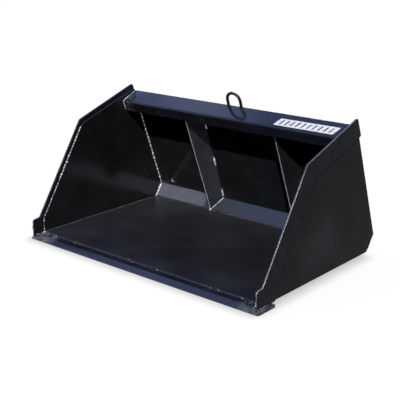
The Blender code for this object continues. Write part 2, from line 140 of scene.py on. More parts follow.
# ---------------------------------------------------------------- node helpers
class Graph:
    """A material with its Principled shader and short names for the nodes in use."""

    def __init__(self, name):
        self.material = bpy.data.materials.new(name)
        self.material.use_nodes = True
        self.tree = self.material.node_tree
        self.shader = self.tree.nodes["Principled BSDF"]
        self.place = self.node("ShaderNodeTexCoord").outputs["Object"]

    def node(self, kind, **values):
        made = self.tree.nodes.new(kind)
        for key, value in values.items():
            setattr(made, key, value)
        return made

    def link(self, output, target):
        self.tree.links.new(output, target)

    def set_input(self, socket, value):
        if isinstance(value, bpy.types.NodeSocket):
            self.link(value, socket)
        else:
            socket.default_value = value

    def noise(self, scale, detail=4.0, rough=0.55, stretch=None, shift=(0.0, 0.0, 0.0)):
        where = self.place
        if stretch is not None or any(shift):
            mapping = self.node("ShaderNodeMapping")
            self.link(where, mapping.inputs["Vector"])
            mapping.inputs["Location"].default_value = shift
            mapping.inputs["Scale"].default_value = stretch or (1.0, 1.0, 1.0)
            where = mapping.outputs["Vector"]
        made = self.node("ShaderNodeTexNoise")
        self.link(where, made.inputs["Vector"])
        made.inputs["Scale"].default_value = scale
        made.inputs["Detail"].default_value = detail
        made.inputs["Roughness"].default_value = rough
        return made.outputs["Fac"]

    def span(self, value, low, high, to_low=0.0, to_high=1.0):
        """value eased from low..high to to_low..to_high."""
        made = self.node("ShaderNodeMapRange", interpolation_type="SMOOTHSTEP")
        self.set_input(made.inputs["Value"], value)
        made.inputs["From Min"].default_value = low
        made.inputs["From Max"].default_value = high
        made.inputs["To Min"].default_value = to_low
        made.inputs["To Max"].default_value = to_high
        return made.outputs["Result"]

    def math(self, kind, first, second=0.0, clamp=False):
        made = self.node("ShaderNodeMath", operation=kind, use_clamp=clamp)
        self.set_input(made.inputs[0], first)
        self.set_input(made.inputs[1], second)
        return made.outputs[0]

    def times(self, first, *others):
        """Masks and numbers multiplied together."""
        for other in others:
            first = self.math("MULTIPLY", first, other)
        return first

    def mix(self, factor, first, second):
        made = self.node("ShaderNodeMix", data_type="RGBA")
        self.set_input(made.inputs[0], factor)
        for index, colour in ((6, first), (7, second)):
            if isinstance(colour, tuple):
                made.inputs[index].default_value = (*colour, 1.0)
            else:
                self.link(colour, made.inputs[index])
        return made.outputs[2]

    def bump(self, height, distance, below=None):
        made = self.node("ShaderNodeBump")
        made.inputs["Strength"].default_value = 1.0
        made.inputs["Distance"].default_value = distance
        self.link(height, made.inputs["Height"])
        if below is not None:
            self.link(below, made.inputs["Normal"])
        return made.outputs["Normal"]

    def axis(self, which):
        """The place along X, Y or Z."""
        made = self.node("ShaderNodeSeparateXYZ")
        self.link(self.place, made.inputs["Vector"])
        return made.outputs[which]

    def facing(self, which):
        """How far the flat face itself points along X, Y or Z, from -1 to 1."""
        plain = self.node("ShaderNodeNewGeometry")
        made = self.node("ShaderNodeSeparateXYZ")
        self.link(plain.outputs["True Normal"], made.inputs["Vector"])
        return made.outputs[which]

    def window(self, which, low, high, soft):
        """1 between two places along an axis, fading over the soft distance."""
        place = self.axis(which)
        rise = self.span(place, low - soft, low + soft)
        fall = self.span(place, high - soft, high + soft, 1.0, 0.0)
        return self.times(rise, fall)

    def band(self, start, finish, half, soft):
        """A soft-edged stripe in the XZ plane between two (x, z) points."""
        across = Vector((finish[0] - start[0], finish[1] - start[1]))
        length = across.length
        across.normalize()
        x, z = self.axis(0), self.axis(2)
        travel = self.math("ADD", self.times(x, across.x), self.times(z, across.y))
        aside = self.math("ADD", self.times(x, -across.y), self.times(z, across.x))
        begin = start[0] * across.x + start[1] * across.y
        beside = -start[0] * across.y + start[1] * across.x
        off = self.math("ABSOLUTE", self.math("SUBTRACT", aside, beside))
        inside = self.span(off, half, half + soft, 1.0, 0.0)
        rise = self.span(travel, begin - 0.01, begin + 0.06)
        fall = self.span(travel, begin + length - 0.02, begin + length + 0.01, 1.0, 0.0)
        return self.times(rise, fall, inside)

    def near_edges(self, radius):
        """0 on flats, rising to 1 where the surface turns within the radius; and that eased normal."""
        soft = self.node("ShaderNodeBevel", samples=4)
        soft.inputs["Radius"].default_value = radius
        plain = self.node("ShaderNodeNewGeometry")
        dot = self.node("ShaderNodeVectorMath", operation="DOT_PRODUCT")
        self.link(soft.outputs["Normal"], dot.inputs[0])
        self.link(plain.outputs["Normal"], dot.inputs[1])
        return self.span(dot.outputs["Value"], 0.80, 0.995, 1.0, 0.0), soft.outputs["Normal"]


# ---------------------------------------------------------------- paint and weld metal
DUST = (0.197, 0.206, 0.250)
CHAMFER_PALE = (0.206, 0.224, 0.290)
# Painted sky reflection colour for the heel slope.
PAINTED_SKY_REFLECTION = (0.22, 0.27, 0.46)
FADED = (0.215, 0.195, 0.215)
# Painted sky sheen for the right strip's inner edge faces.
PAINTED_SKY_SHEEN = (0.120, 0.130, 0.270)
PRIMER = (0.16, 0.165, 0.20)
# Light edge colour of the right strip: wear, and a painted highlight.
RUBBED_AND_LIT = (0.26, 0.27, 0.32)
SCRATCH = (0.22, 0.22, 0.23)
STEEL_AND_HIGHLIGHT = (0.72, 0.72, 0.75)
WEATHERED = 1.35
PEEL_HEIGHT = 0.00004
SPECK_HEIGHT = 0.00008


def paint(name, base, rough, dust, scuff, edge=0.35, edge_colour=PRIMER, wave=0.0009, shine=0.5,
          turn=0.0030, patches=(), bare_and_glint=(), mottle=(7.0, 6.0), seed=0.0):
    """Black enamel over steel: orange peel, dust, scuffs, and light edges that stand for wear and, on
    the strips, for a painted highlight.

    patches lists functions that give the mask, amount and colour of what lies on the paint: dirt and
    films, and on some parts a painted sheen and sky reflection.
    bare lists functions that give the mask and amount of light steel colour, standing for steel
    showing through and for a painted highlight.
    """
    g = Graph(name)
    g.shader.inputs["Specular IOR Level"].default_value = shine
    shift = (seed * 1.7, seed * 0.9, seed * 2.3)
    cloud = g.noise(mottle[0], mottle[1], 0.62, shift=shift)
    speck = g.noise(120.0, 3.0, 0.6, shift=shift)
    streak = g.noise(9.0, 3.0, 0.5, stretch=(1.0, 14.0, 14.0), shift=shift)
    tone = g.mix(g.span(cloud, 0.3, 0.75), base, tuple(part * WEATHERED for part in base))
    dust_and_sheen = g.times(g.span(cloud, 0.42, 0.72), g.span(speck, 0.35, 0.65), dust)
    tone = g.mix(dust_and_sheen, tone, DUST)
    # Patches lay on dirt, and on some parts a painted sheen and reflection; every cover also dulls the
    # gloss.
    for patch in patches:
        mask, amount, colour = patch(g)
        cover = g.times(mask, amount)
        tone = g.mix(cover, tone, colour)
        dust_and_sheen = g.math("ADD", dust_and_sheen, cover, clamp=True)
    # Light steel colour: steel showing through, and a painted highlight on ridges and cut edges.
    for place in bare_and_glint:
        mask, amount = place(g)
        tone = g.mix(g.times(mask, amount), tone, STEEL_AND_HIGHLIGHT)
    tone = g.mix(g.times(g.span(streak, 0.66, 0.74), scuff), tone, SCRATCH)
    # Light edges: wear, and on the strips a painted highlight where the edges catch the light.
    turned, eased = g.near_edges(turn)
    worn_and_lit_edge = g.times(turned, g.span(g.noise(60.0, 4.0, 0.7), 0.30, 0.62, 0.45, 1.0), edge)
    g.link(g.mix(worn_and_lit_edge, tone, edge_colour), g.shader.inputs["Base Color"])
    gloss = g.span(cloud, 0.25, 0.8, rough * 0.85, rough * 1.35)
    gloss = g.math("ADD", gloss, g.times(dust_and_sheen, 0.9))
    gloss = g.math("ADD", gloss, g.times(worn_and_lit_edge, 0.12), clamp=True)
    g.link(gloss, g.shader.inputs["Roughness"])
    rolled = g.bump(g.noise(3.2, 2.0, 0.4, shift=shift), wave, below=eased)
    peel = g.bump(g.noise(650.0, 2.0, 0.5), PEEL_HEIGHT, below=rolled)
    g.link(g.bump(speck, SPECK_HEIGHT, below=peel), g.shader.inputs["Normal"])
    return g.material


def weld_metal(name, bright, dark=(0.02, 0.02, 0.024), share=(0.42, 0.60), rough=0.32):
    """Thinly painted weld bead that has lost its paint in spots; share sets how many. On the light
    beads the spots stand both for metal showing through and for painted glints.
    """
    g = Graph(name)
    grain = g.noise(330.0, 4.0, 0.65)
    blotch = g.noise(70.0, 3.0, 0.6)
    bare_and_glint = g.span(g.math("ADD", g.times(grain, 0.45), g.times(blotch, 0.55)), share[0], share[1])
    g.link(g.mix(bare_and_glint, dark, bright), g.shader.inputs["Base Color"])
    g.link(g.times(bare_and_glint, 0.35), g.shader.inputs["Metallic"])
    g.link(g.span(grain, 0.3, 0.7, rough * 0.8, rough * 1.4), g.shader.inputs["Roughness"])
    g.link(g.bump(grain, 0.0004), g.shader.inputs["Normal"])
    return g.material


def white_film():
    """Printed white film, slightly faded in patches."""
    g = Graph("white_film")
    fade = g.noise(40.0, 4.0, 0.6)
    g.link(g.mix(g.span(fade, 0.4, 0.75), (0.90, 0.92, 1.0), (0.66, 0.68, 0.76)),
           g.shader.inputs["Base Color"])
    g.link(g.span(fade, 0.3, 0.7, 0.30, 0.45), g.shader.inputs["Roughness"])
    g.link(g.bump(g.noise(500.0, 2.0), 0.00003), g.shader.inputs["Normal"])
    return g.material


# ---------------------------------------------------------------- patches on the paint
HEEL_BAND = (0.030, 0.112)
HEEL_SPLIT = -0.43


def heel_slope(g, left, right):
    """The heel slope between two x places."""
    return g.times(g.window(2, *HEEL_BAND, 0.003), g.window(0, left, right, 0.01))


def left_chamfer(g):
    """A lighter, bluish grey in grainy patches over the left part of the heel slope."""
    grain = g.span(g.noise(22.0, 5.0, 0.6), 0.25, 0.75, 0.6, 1.0)
    return g.times(heel_slope(g, -BEYOND, HEEL_SPLIT), grain), 0.56, CHAMFER_PALE


def right_chamfer_reflection(g):
    """A painted bluish sky reflection on the rest of the heel slope."""
    return heel_slope(g, HEEL_SPLIT, BEYOND), 0.09, PAINTED_SKY_REFLECTION


def back_streak(g):
    """A slanting lighter band on the inner face of the rear sheet."""
    inside = g.span(g.facing(1), -0.5, -0.1, 1.0, 0.0)
    start, finish = (-0.47 + ORIGIN.x, 0.430), (-0.744 + ORIGIN.x, 0.150)
    return g.times(g.band(start, finish, 0.004, 0.024), inside), 0.060, DUST


def strip_edge_half(g, outer):
    """The outer or inner half of the right strip's narrow edge faces."""
    middle = ORIGIN.x + STRIP_MIDDLE
    levels = (0.0, 1.0) if outer else (1.0, 0.0)
    half = g.span(g.axis(0), middle - 0.0012, middle + 0.0012, *levels)
    narrow = g.span(g.math("ABSOLUTE", g.facing(0)), 0.3, 0.7, 1.0, 0.0)
    return g.times(narrow, half)


def cut_faces_and_highlight(g):
    """Sheared steel showing, and a painted highlight, along the outer half, most of all on the slanted
    part.
    """
    grain = g.span(g.noise(40.0, 4.0, 0.6), 0.25, 0.65, 0.78, 1.0)
    slanted = g.window(2, SLANT_LOW, SLANT_HIGH, 0.012)
    lower = g.times(g.span(g.axis(2), 0.10, 0.62, 1.0, 0.75), slanted)
    place = g.math("ADD", g.times(lower, 0.92), 0.06)
    return g.times(strip_edge_half(g, True), grain, place), 0.58


def inner_sky_sheen(g):
    """A painted blue sheen, the sky's reflection, along the inner half, from above the toe to the top.
    """
    above_toe = g.window(2, SLANT_LOW, STRIP_TOP, 0.012)
    return g.times(strip_edge_half(g, False), above_toe), 0.60, PAINTED_SKY_SHEEN


def floor_left_dust(g):
    """Fine dust over the left part of the floor."""
    side = g.window(0, -BEYOND, -0.50, 0.22)
    grain = g.span(g.noise(16.0, 5.0, 0.6), 0.2, 0.8, 0.5, 1.0)
    return g.times(side, grain), 0.052, DUST


def floor_scuffs(g):
    """Broad dull scuffs on the floor."""
    broad = g.noise(2.6, 2.0, 0.4, stretch=(1.0, 0.6, 1.0), shift=(0.3, 0.8, 0.0))
    mark = g.span(g.noise(14.0, 2.0, 0.4), 0.30, 0.70, 0.75, 1.0)
    return g.times(g.span(broad, 0.38, 0.70), mark), 0.030, DUST


def low_dust(g):
    """Dust splashed up from the ground."""
    low = g.window(2, -0.10, 0.16, 0.16)
    grain = g.span(g.noise(12.0, 5.0, 0.62), 0.25, 0.75, 0.3, 1.0)
    return g.times(low, grain), 0.040, DUST


def side_blotch(g):
    """A broad faded patch low on the outside of the right plate."""
    gap_y = g.math("SUBTRACT", g.axis(1), -0.02)
    gap_z = g.math("SUBTRACT", g.axis(2), 0.23)
    reach = g.math("SQRT", g.math("ADD", g.times(gap_y, gap_y), g.times(gap_z, gap_z, 1.6)))
    grain = g.span(g.noise(8.0, 3.0, 0.5, shift=(0.0, 0.4, 0.2)), 0.25, 0.75, 0.55, 1.0)
    return g.times(g.span(reach, 0.02, 0.30, 1.0, 0.0), grain), 0.095, FADED


def outside_dust(g):
    """Dust on the outside of the left plate, heavier towards the ground."""
    outside = g.span(g.facing(0), -0.9, -0.5, 1.0, 0.0)
    cloud = g.span(g.noise(4.5, 5.0, 0.6, shift=(0.0, 0.3, 0.7)), 0.30, 0.72, 0.25, 1.0)
    low = g.span(g.axis(2), 0.0, 0.65, 1.0, 0.35)
    return g.times(outside, cloud, low), 0.17, DUST


def handling_dust(g):
    """Settled dust and rubbed paint on the coupler."""
    cloud = g.span(g.noise(6.0, 6.0, 0.65, shift=(0.9, 0.0, 0.1)), 0.38, 0.70)
    fine = g.span(g.noise(60.0, 4.0, 0.6), 0.25, 0.70, 0.5, 1.0)
    return g.times(cloud, fine), 0.065, DUST


def right_toe(g):
    """Grit on the right end of the cutting edge."""
    place = g.window(0, 0.76, BEYOND, 0.06)
    grain = g.span(g.noise(34.0, 5.0, 0.65), 0.36, 0.64)
    return g.times(place, grain), 0.75, DUST


def left_toe(g):
    """Grit on the left end of the cutting edge."""
    place = g.window(0, -BEYOND, -0.735, 0.07)
    grain = g.span(g.noise(30.0, 5.0, 0.65), 0.32, 0.62)
    return g.times(place, grain), 0.92, DUST


def ridge_highlight(g):
    """A painted highlight: a light steel-coloured line along the folded ridges of the stiffeners."""
    ridges = [g.window(0, side * RIB_X + ORIGIN.x - 0.0024, side * RIB_X + ORIGIN.x + 0.0030, 0.0014)
              for side, _ in HANDS]
    grain = g.span(g.noise(55.0, 5.0, 0.7), 0.25, 0.60, 0.70, 1.0)
    return g.times(g.math("ADD", ridges[0], ridges[1]), grain), 0.86


def lip_smudge(g):
    """A dusty smudge at the left end of the lip."""
    place = g.window(0, -0.87, -0.80, 0.03)
    grain = g.span(g.noise(45.0, 4.0, 0.7), 0.40, 0.65)
    return g.times(place, grain), 0.35, DUST


# ---------------------------------------------------------------- materials of the CAD nodes
def give(node_names, material):
    for name in node_names:
        piece = nodes[name]
        piece.data.materials.clear()
        piece.data.materials.append(material)


SHEET_PAINT = (0.0150, 0.0152, 0.0180)
REAR_NODES = ["attach_plate", "attach_hook", "attach_lower_flange", "attach_ear_left",
              "attach_ear_right"]
REAR_NODES += ["%s_gusset_%d" % (kind, index) for kind in ("hook", "lower") for index in GUSSETS]

give(["floor_plate"],
     paint("floor_enamel", (0.0150, 0.0150, 0.0163), rough=0.36, dust=0.010, scuff=0.02,
           patches=(floor_scuffs, floor_left_dust), mottle=(2.4, 2.0), seed=1.0))
give(["rear_sheet"],
     paint("back_enamel", SHEET_PAINT, rough=0.22, dust=0.02, scuff=0.02,
           patches=(left_chamfer, right_chamfer_reflection, back_streak), mottle=(4.0, 4.0), seed=2.0))
give(["side_plate_left"],
     paint("left_side_enamel", (0.0135, 0.0135, 0.0155), rough=0.14, dust=0.02, scuff=0.02,
           shine=1.0, patches=(outside_dust,), mottle=(4.0, 3.0), seed=3.0))
give(["side_plate_right"],
     paint("right_side_enamel", (0.0165, 0.0160, 0.0180), rough=0.26, dust=0.04, scuff=0.03,
           patches=(low_dust, side_blotch), mottle=(4.0, 4.0), seed=4.0))
# On both strips the light edge colour stands for wear and for a painted highlight where the edges
# catch the light.
give(["side_strip_left"],
     paint("strip_enamel", (0.0125, 0.0132, 0.0185), rough=0.18, dust=0.04, scuff=0.03,
           edge=1.0, edge_colour=(0.28, 0.29, 0.34), shine=0.36, patches=(outside_dust,),
           seed=5.0))
give(["side_strip_right"],
     paint("strip_worn_and_lit_enamel", (0.0165, 0.0168, 0.0205), rough=0.24, dust=0.04, scuff=0.03,
           edge=1.0, edge_colour=RUBBED_AND_LIT, turn=0.0040, patches=(inner_sky_sheen, low_dust),
           bare_and_glint=(cut_faces_and_highlight,), seed=5.5))
give(["top_lip"],
     paint("lip_enamel", (0.014, 0.0155, 0.024), rough=0.12, dust=0.02, scuff=0.03,
           wave=0.0016, patches=(lip_smudge,), mottle=(9.0, 5.0), seed=6.0))
give(["cutting_edge"],
     paint("cutting_edge_enamel", (0.0138, 0.0150, 0.0222), rough=0.20, dust=0.06, scuff=0.08,
           edge=0.55, patches=(left_toe, right_toe), seed=7.0))
# Lit and shaded copies of one paint: the left stiffener's lighter, bluer paint is painted light, the
# right one's darker sheet paint is painted shade.
give(["stiffener_left"],
     paint("stiffener_lit_enamel", (0.0240, 0.0250, 0.0320), rough=0.24, dust=0.03, scuff=0.03,
           edge=0.6, bare_and_glint=(ridge_highlight,), mottle=(4.0, 4.0), seed=8.0))
give(["stiffener_right"],
     paint("stiffener_shaded_enamel", SHEET_PAINT, rough=0.24, dust=0.03, scuff=0.03,
           edge=0.6, bare_and_glint=(ridge_highlight,), mottle=(4.0, 4.0), seed=8.5))
give(["lifting_loop"],
     paint("loop_enamel", (0.012, 0.012, 0.013), rough=0.28, dust=0.06, scuff=0.03,
           edge=0.1, seed=9.0))
give(["heel_wear_bar", "wear_runner_left", "wear_runner_right"],
     paint("wear_bar_enamel", SHEET_PAINT, rough=0.34, dust=0.14, scuff=0.18, edge=0.6, seed=10.0))
give(REAR_NODES,
     paint("coupler_enamel", (0.0165, 0.0168, 0.0190), rough=0.30, dust=0.06, scuff=0.06,
           edge=1.0, edge_colour=(0.26, 0.265, 0.29), turn=0.0040, patches=(handling_dust,),
           mottle=(3.5, 5.0), seed=11.0))

# The light weld colours stand for metal showing through and for painted glints.
BRIGHT_WELD = weld_metal("weld_bright", (0.74, 0.74, 0.77), share=(0.42, 0.56))
TOE_WELD = weld_metal("weld_toe", (0.62, 0.60, 0.62), share=(0.48, 0.60))
FAINT_WELD = weld_metal("weld_faint", (0.22, 0.225, 0.235), share=(0.42, 0.62))
# Bluish bead colour for the floor's front edge: a painted sky reflection.
SKY_REFLECTION_WELD = weld_metal("weld_sky_reflection", (0.070, 0.073, 0.125), share=(0.36, 0.60), rough=0.24)
# Near-black bead: a dark joint and a painted shadow beside the strips.
SEAM_SHADOW = weld_metal("seam_shadow_bead", (0.006, 0.006, 0.007), (0.003, 0.003, 0.004), rough=0.85)
REAR_WELD = weld_metal("weld_rear", (0.15, 0.15, 0.16), share=(0.42, 0.66))
DARK_WELD = weld_metal("weld_painted", (0.05, 0.05, 0.056), (0.014, 0.014, 0.016),
                       (0.5, 0.75), 0.26)


# ---------------------------------------------------------------- weld bead meshes
SIDES = 8
BLOB_RINGS = 5
SKIN_NOISE = 0.10
SLOW_SWAY = 90.0
FAST_SWAY = 230.0


def along(points, step):
    """Points at an even step along a polyline, with the distance at each."""
    lengths = [0.0]
    for first, second in zip(points, points[1:]):
        lengths.append(lengths[-1] + (second - first).length)
    count = max(2, int(lengths[-1] / step) + 1)
    spots = []
    part = 0
    for index in range(count):
        travelled = lengths[-1] * index / (count - 1)
        while part < len(points) - 2 and travelled > lengths[part + 1]:
            part += 1
        share = (travelled - lengths[part]) / max(1e-9, lengths[part + 1] - lengths[part])
        spots.append((points[part].lerp(points[part + 1], share), travelled))
    return spots, lengths[-1]


def side_direction(forward, previous):
    """A direction square to forward, turning as little as it can from the previous one."""
    if previous is not None:
        return (previous - forward * previous.dot(forward)).normalized()
    helper = Vector((0.0, 0.0, 1.0))
    if abs(forward.z) > 0.8:
        helper = Vector((1.0, 0.0, 0.0))
    return forward.cross(helper).normalized()


class Beads:
    """Weld beads collected into one mesh piece."""

    def __init__(self, name, material, slot):
        self.name = name
        self.material = material
        self.slot = slot
        self.verts = []
        self.faces = []

    def run(self, points, radius, pitch=0.0065, uneven=0.16, wander=0.12, step=0.0022,
            depth=0.24, crest=0.8):
        """A rippled bead along a line, thin at its ends like a real start and stop.

        pitch is the length of a ripple, depth how deep the ripples are as a share of the radius,
        crest how peaked, uneven how much they differ and wander how far the bead sways.
        """
        spots, total = along(points, step)
        first = len(self.verts)
        drift = [rng.uniform(-1.0, 1.0) for _ in range(3)]
        lumps = [rng.uniform(1.0 - 1.6 * uneven, 1.0 + 0.5 * uneven)
                 for _ in range(int(total / pitch) + 2)]
        side = None
        for index, (spot, travelled) in enumerate(spots):
            before = spots[max(0, index - 1)][0]
            after = spots[min(len(spots) - 1, index + 1)][0]
            forward = (after - before).normalized()
            side = side_direction(forward, side)
            other = forward.cross(side)
            wave = abs(math.sin(math.pi * travelled / pitch)) ** crest
            ends = min(1.0, (min(travelled, total - travelled) + 0.0006) / (radius * 1.1)) ** 0.5
            lump = lumps[int(travelled / pitch)] * (1.0 + 0.4 * uneven * rng.uniform(-1.0, 1.0))
            size = radius * (1.04 - depth + depth * wave * lump) * ends
            sway = wander * radius * (math.sin(travelled * SLOW_SWAY + drift[0] * 3.0)
                                      + drift[1] * math.sin(travelled * FAST_SWAY + drift[2]))
            centre = spot + side * sway
            for turn in range(SIDES):
                angle = 2.0 * math.pi * turn / SIDES
                reach = size * (1.0 + SKIN_NOISE * rng.uniform(-1.0, 1.0))
                outward = side * math.cos(angle) + other * math.sin(angle)
                self.verts.append(centre + outward * reach)
        self.skin(first, len(spots))
        last = first + (len(spots) - 1) * SIDES
        self.faces.append(tuple(first + turn for turn in reversed(range(SIDES))))
        self.faces.append(tuple(last + turn for turn in range(SIDES)))

    def skin(self, first, rings):
        """Faces between rings of points that follow each other in the list."""
        for ring in range(rings - 1):
            low = first + ring * SIDES
            for turn in range(SIDES):
                follow = (turn + 1) % SIDES
                self.faces.append((low + turn, low + follow,
                                   low + SIDES + follow, low + SIDES + turn))

    def stitch(self, start, finish, radius, length, gap, **options):
        """Short beads with gaps, from start to finish."""
        total = (finish - start).length
        direction = (finish - start).normalized()
        travelled = 0.0
        while travelled < total:
            end = min(total, travelled + length * rng.uniform(0.8, 1.2))
            self.run([start + direction * travelled, start + direction * end], radius, **options)
            travelled = end + gap * rng.uniform(0.7, 1.3)

    def blob(self, centre, radius):
        """A rough lump, such as a crater fill or a spatter ball."""
        bottom = len(self.verts)
        self.verts.append(centre + Vector((0.0, 0.0, -radius)))
        for ring in range(1, BLOB_RINGS):
            height = -math.cos(math.pi * ring / BLOB_RINGS)
            wide = math.sin(math.pi * ring / BLOB_RINGS)
            for turn in range(SIDES):
                angle = 2.0 * math.pi * turn / SIDES
                reach = radius * rng.uniform(0.85, 1.15)
                outward = Vector((wide * math.cos(angle), wide * math.sin(angle), height))
                self.verts.append(centre + outward * reach)
        self.verts.append(centre + Vector((0.0, 0.0, radius)))
        top = len(self.verts) - 1
        self.skin(bottom + 1, BLOB_RINGS - 1)
        for turn in range(SIDES):
            follow = (turn + 1) % SIDES
            self.faces.append((bottom, bottom + 1 + follow, bottom + 1 + turn))
            self.faces.append((top - SIDES + turn, top - SIDES + follow, top))

    def finish(self):
        mesh = bpy.data.meshes.new(self.name)
        mesh.from_pydata([tuple(vert) for vert in self.verts], [], self.faces)
        mesh.update()
        mesh.shade_smooth()
        mesh.materials.append(self.material)
        piece = bpy.data.objects.new(self.name, mesh)
        scene.collection.objects.link(piece)
        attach(piece, "root")


# ---------------------------------------------------------------- welds of the bowl
def weld_side_front(side, word):
    """Side plate's slanted front edge on the strip, and spatter where it meets the floor."""
    edge = Beads("weld_side_front_" + word, BRIGHT_WELD, "side_strip_" + word)
    strip = side * EDGE_BEAD_X
    edge.run([on(strip, profile(0.090, 0.122)), on(strip, profile(0.424, 0.650))], 0.0054,
             pitch=0.0215, uneven=0.40, wander=0.20, depth=0.90, crest=1.7)
    for _ in range(5):
        edge.blob(at(side * (WALL_X - rng.uniform(-0.004, 0.010)),
                     0.076 + rng.uniform(-0.006, 0.008), EDGE_TOP + rng.uniform(0.001, 0.009)),
                  rng.uniform(0.003, 0.006))
    edge.finish()


def weld_toe(side, word):
    """Rough welds up the strip's blunt toe and along both sides of its foot."""
    toe = Beads("weld_toe_" + word, TOE_WELD, "cutting_edge")
    strip = side * EDGE_BEAD_X
    toe.run([on(strip, profile(0.081, 0.026)), on(strip, profile(0.084, 0.118))], 0.0042,
            pitch=0.0200, uneven=0.45, depth=0.90, crest=1.5)
    middle = side * (PLATE_X + 0.0053)
    toe.run([on(middle, profile(0.000, EDGE_TOP + 0.002)), on(middle, profile(-0.001, 0.080))],
            0.0046, pitch=0.0150, uneven=0.45, wander=0.55, depth=0.90, crest=1.3)
    for offset in (0.0112, -0.0006):
        foot = side * (PLATE_X + offset)
        toe.run([at(foot, 0.004, EDGE_TOP + 0.002), at(foot, 0.072, EDGE_TOP + 0.002)], 0.0048,
                pitch=0.0120, uneven=0.45, wander=0.40, depth=0.80, crest=1.3)
    toe.finish()


def weld_strip_seam(side, word):
    """Dark bead on the outside along the strip's rear edge: a dark joint widened into a painted shadow
    where the strip stands proud.
    """
    seam = Beads("weld_strip_seam_" + word, SEAM_SHADOW, "side_strip_" + word)
    outer_face = side * (PLATE_X + 0.0006)
    route = ((0.9485, 0.7560), (0.4985, 0.5955), (0.1675, 0.0795), (0.1625, 0.0300))
    seam.run([on(outer_face, profile(*spot)) for spot in route], 0.0058, step=0.004)
    seam.finish()


def weld_side_top(side, word):
    """Painted bead between the plate's top edge and the strip."""
    top_edge = Beads("weld_side_top_" + word, DARK_WELD, "side_strip_" + word)
    strip = side * EDGE_BEAD_X
    top_edge.run([on(strip, profile(0.446, 0.6705)), on(strip, profile(0.838, 0.8085))], 0.0032,
                 step=0.004)
    top_edge.finish()


def weld_back_corner(side, word):
    """Rear sheet and heel slope against the side plate."""
    corner = Beads("weld_back_corner_" + word, BRIGHT_WELD, "side_plate_" + word)
    inset = side * INSET_X
    corner.run([on(inset, BACK_CORNER - BACK_OUT * 0.001), on(inset, BACK_TOP - BACK_OUT * 0.001)],
               0.0062, pitch=0.0330, uneven=0.38, wander=0.10, depth=0.90, crest=1.5)
    corner.run([on(inset, HEEL_FOOT + profile(-0.001, 0.001)),
                on(inset, BACK_CORNER - BACK_OUT * 0.002)], 0.0078, pitch=0.009, uneven=0.08,
               depth=0.12)
    corner.finish()


def weld_floor_side(side, word):
    """Floor plate against the side plate."""
    floor_line = Beads("weld_floor_side_" + word, FAINT_WELD, "side_plate_" + word)
    inset = side * INSET_X
    height = FLOOR_TOP + 0.0004
    floor_line.run([at(inset, 0.092, height), at(inset, FLOOR_REAR - 0.012, height)], 0.0042,
                   step=0.003, uneven=0.25)
    floor_line.finish()


def weld_lip_end(side, word):
    """Top lip's end against the side plate, round its bend."""
    lip_end = Beads("weld_lip_end_" + word, BRIGHT_WELD, "top_lip")
    inset = side * INSET_X
    lip_end.run([on(inset, LIP_REAR + LIP_ALONG * 0.012 + LIP_NORMAL * 0.001),
                 on(inset, LIP_BEND - LIP_ALONG * 0.008 + LIP_NORMAL * 0.001),
                 on(inset, LIP_BEND - LIP_ALONG * 0.0015),
                 on(inset, LIP_BEND + profile(0.003, -0.009)),
                 on(inset, LIP_LOW + profile(0.0, 0.002))],
                0.0052, pitch=0.0210, uneven=0.45, depth=0.90, crest=1.5)
    lip_end.finish()


def weld_floor_heel():
    """Floor plate against the foot of the heel slope."""
    heel = Beads("weld_floor_heel", FAINT_WELD, "rear_sheet")
    reach, height = WALL_X - 0.004, FLOOR_TOP + 0.0012
    heel.run([at(-reach, HEEL_FOOT.y - 0.0015, height), at(reach, HEEL_FOOT.y - 0.0015, height)],
             0.0026, step=0.003)
    heel.finish()


def weld_spatter_back():
    """A tack and spatter left on the rear sheet beside the left corner."""
    tack = Beads("weld_spatter_back", BRIGHT_WELD, "rear_sheet")
    spot = BACK_CORNER + BACK_UP * 0.040 - BACK_OUT * 0.001
    tack.run([on(-0.748, spot + BACK_UP * 0.010), on(-0.742, spot - BACK_UP * 0.008)], 0.0046,
             uneven=0.3)
    for _ in range(4):
        tack.blob(on(-0.745 + rng.uniform(-0.020, 0.030), BACK_CORNER
                     + BACK_UP * rng.uniform(0.012, 0.060) - BACK_OUT * 0.0004),
                  rng.uniform(0.0012, 0.0022))
    tack.finish()


STITCHES = ((0.015, 0.075), (0.255, 0.340), (0.545, 0.618))


def weld_stiffener(side, word):
    """Stitches and a thin painted bead up the rear sheet, and a bead across the heel slope."""
    ribs = Beads("weld_stiffener_" + word, BRIGHT_WELD, "stiffener_" + word)
    quiet = Beads("weld_stiffener_thin_" + word, DARK_WELD, "stiffener_" + word)
    for hand in (-1.0, 1.0):
        foot_x = side * RIB_X + hand * (RIB_HALF + 0.0012)
        stitched = (side, hand) != (1.0, 1.0)
        for low, high in STITCHES:
            if stitched:
                ribs.run([on(foot_x, BACK_CORNER + BACK_UP * low - BACK_OUT * 0.0015),
                          on(foot_x, BACK_CORNER + BACK_UP * high - BACK_OUT * 0.0015)],
                         0.0064, pitch=0.015, uneven=0.45, depth=0.70, crest=1.0)
        quiet.run([on(foot_x, BACK_CORNER + BACK_UP * 0.01 - BACK_OUT * 0.0010),
                   on(foot_x, BACK_CORNER + BACK_UP * 0.66 - BACK_OUT * 0.0010)],
                  0.0018, step=0.006)
        ribs.run([on(foot_x, BACK_CORNER - BACK_OUT * 0.002 + profile(-0.0005, 0.002)),
                  on(side * RIB_X, RIB_FOOT + profile(-0.0015, 0.0015))],
                 0.0046, pitch=0.016, uneven=0.40, depth=0.80, crest=1.2)
    ribs.blob(on(side * RIB_X, RIB_FOOT + profile(-0.003, 0.001)), 0.0055)
    ribs.finish()
    quiet.finish()


LOOP_FOOT = 0.050
LOOP_STEPS = 12


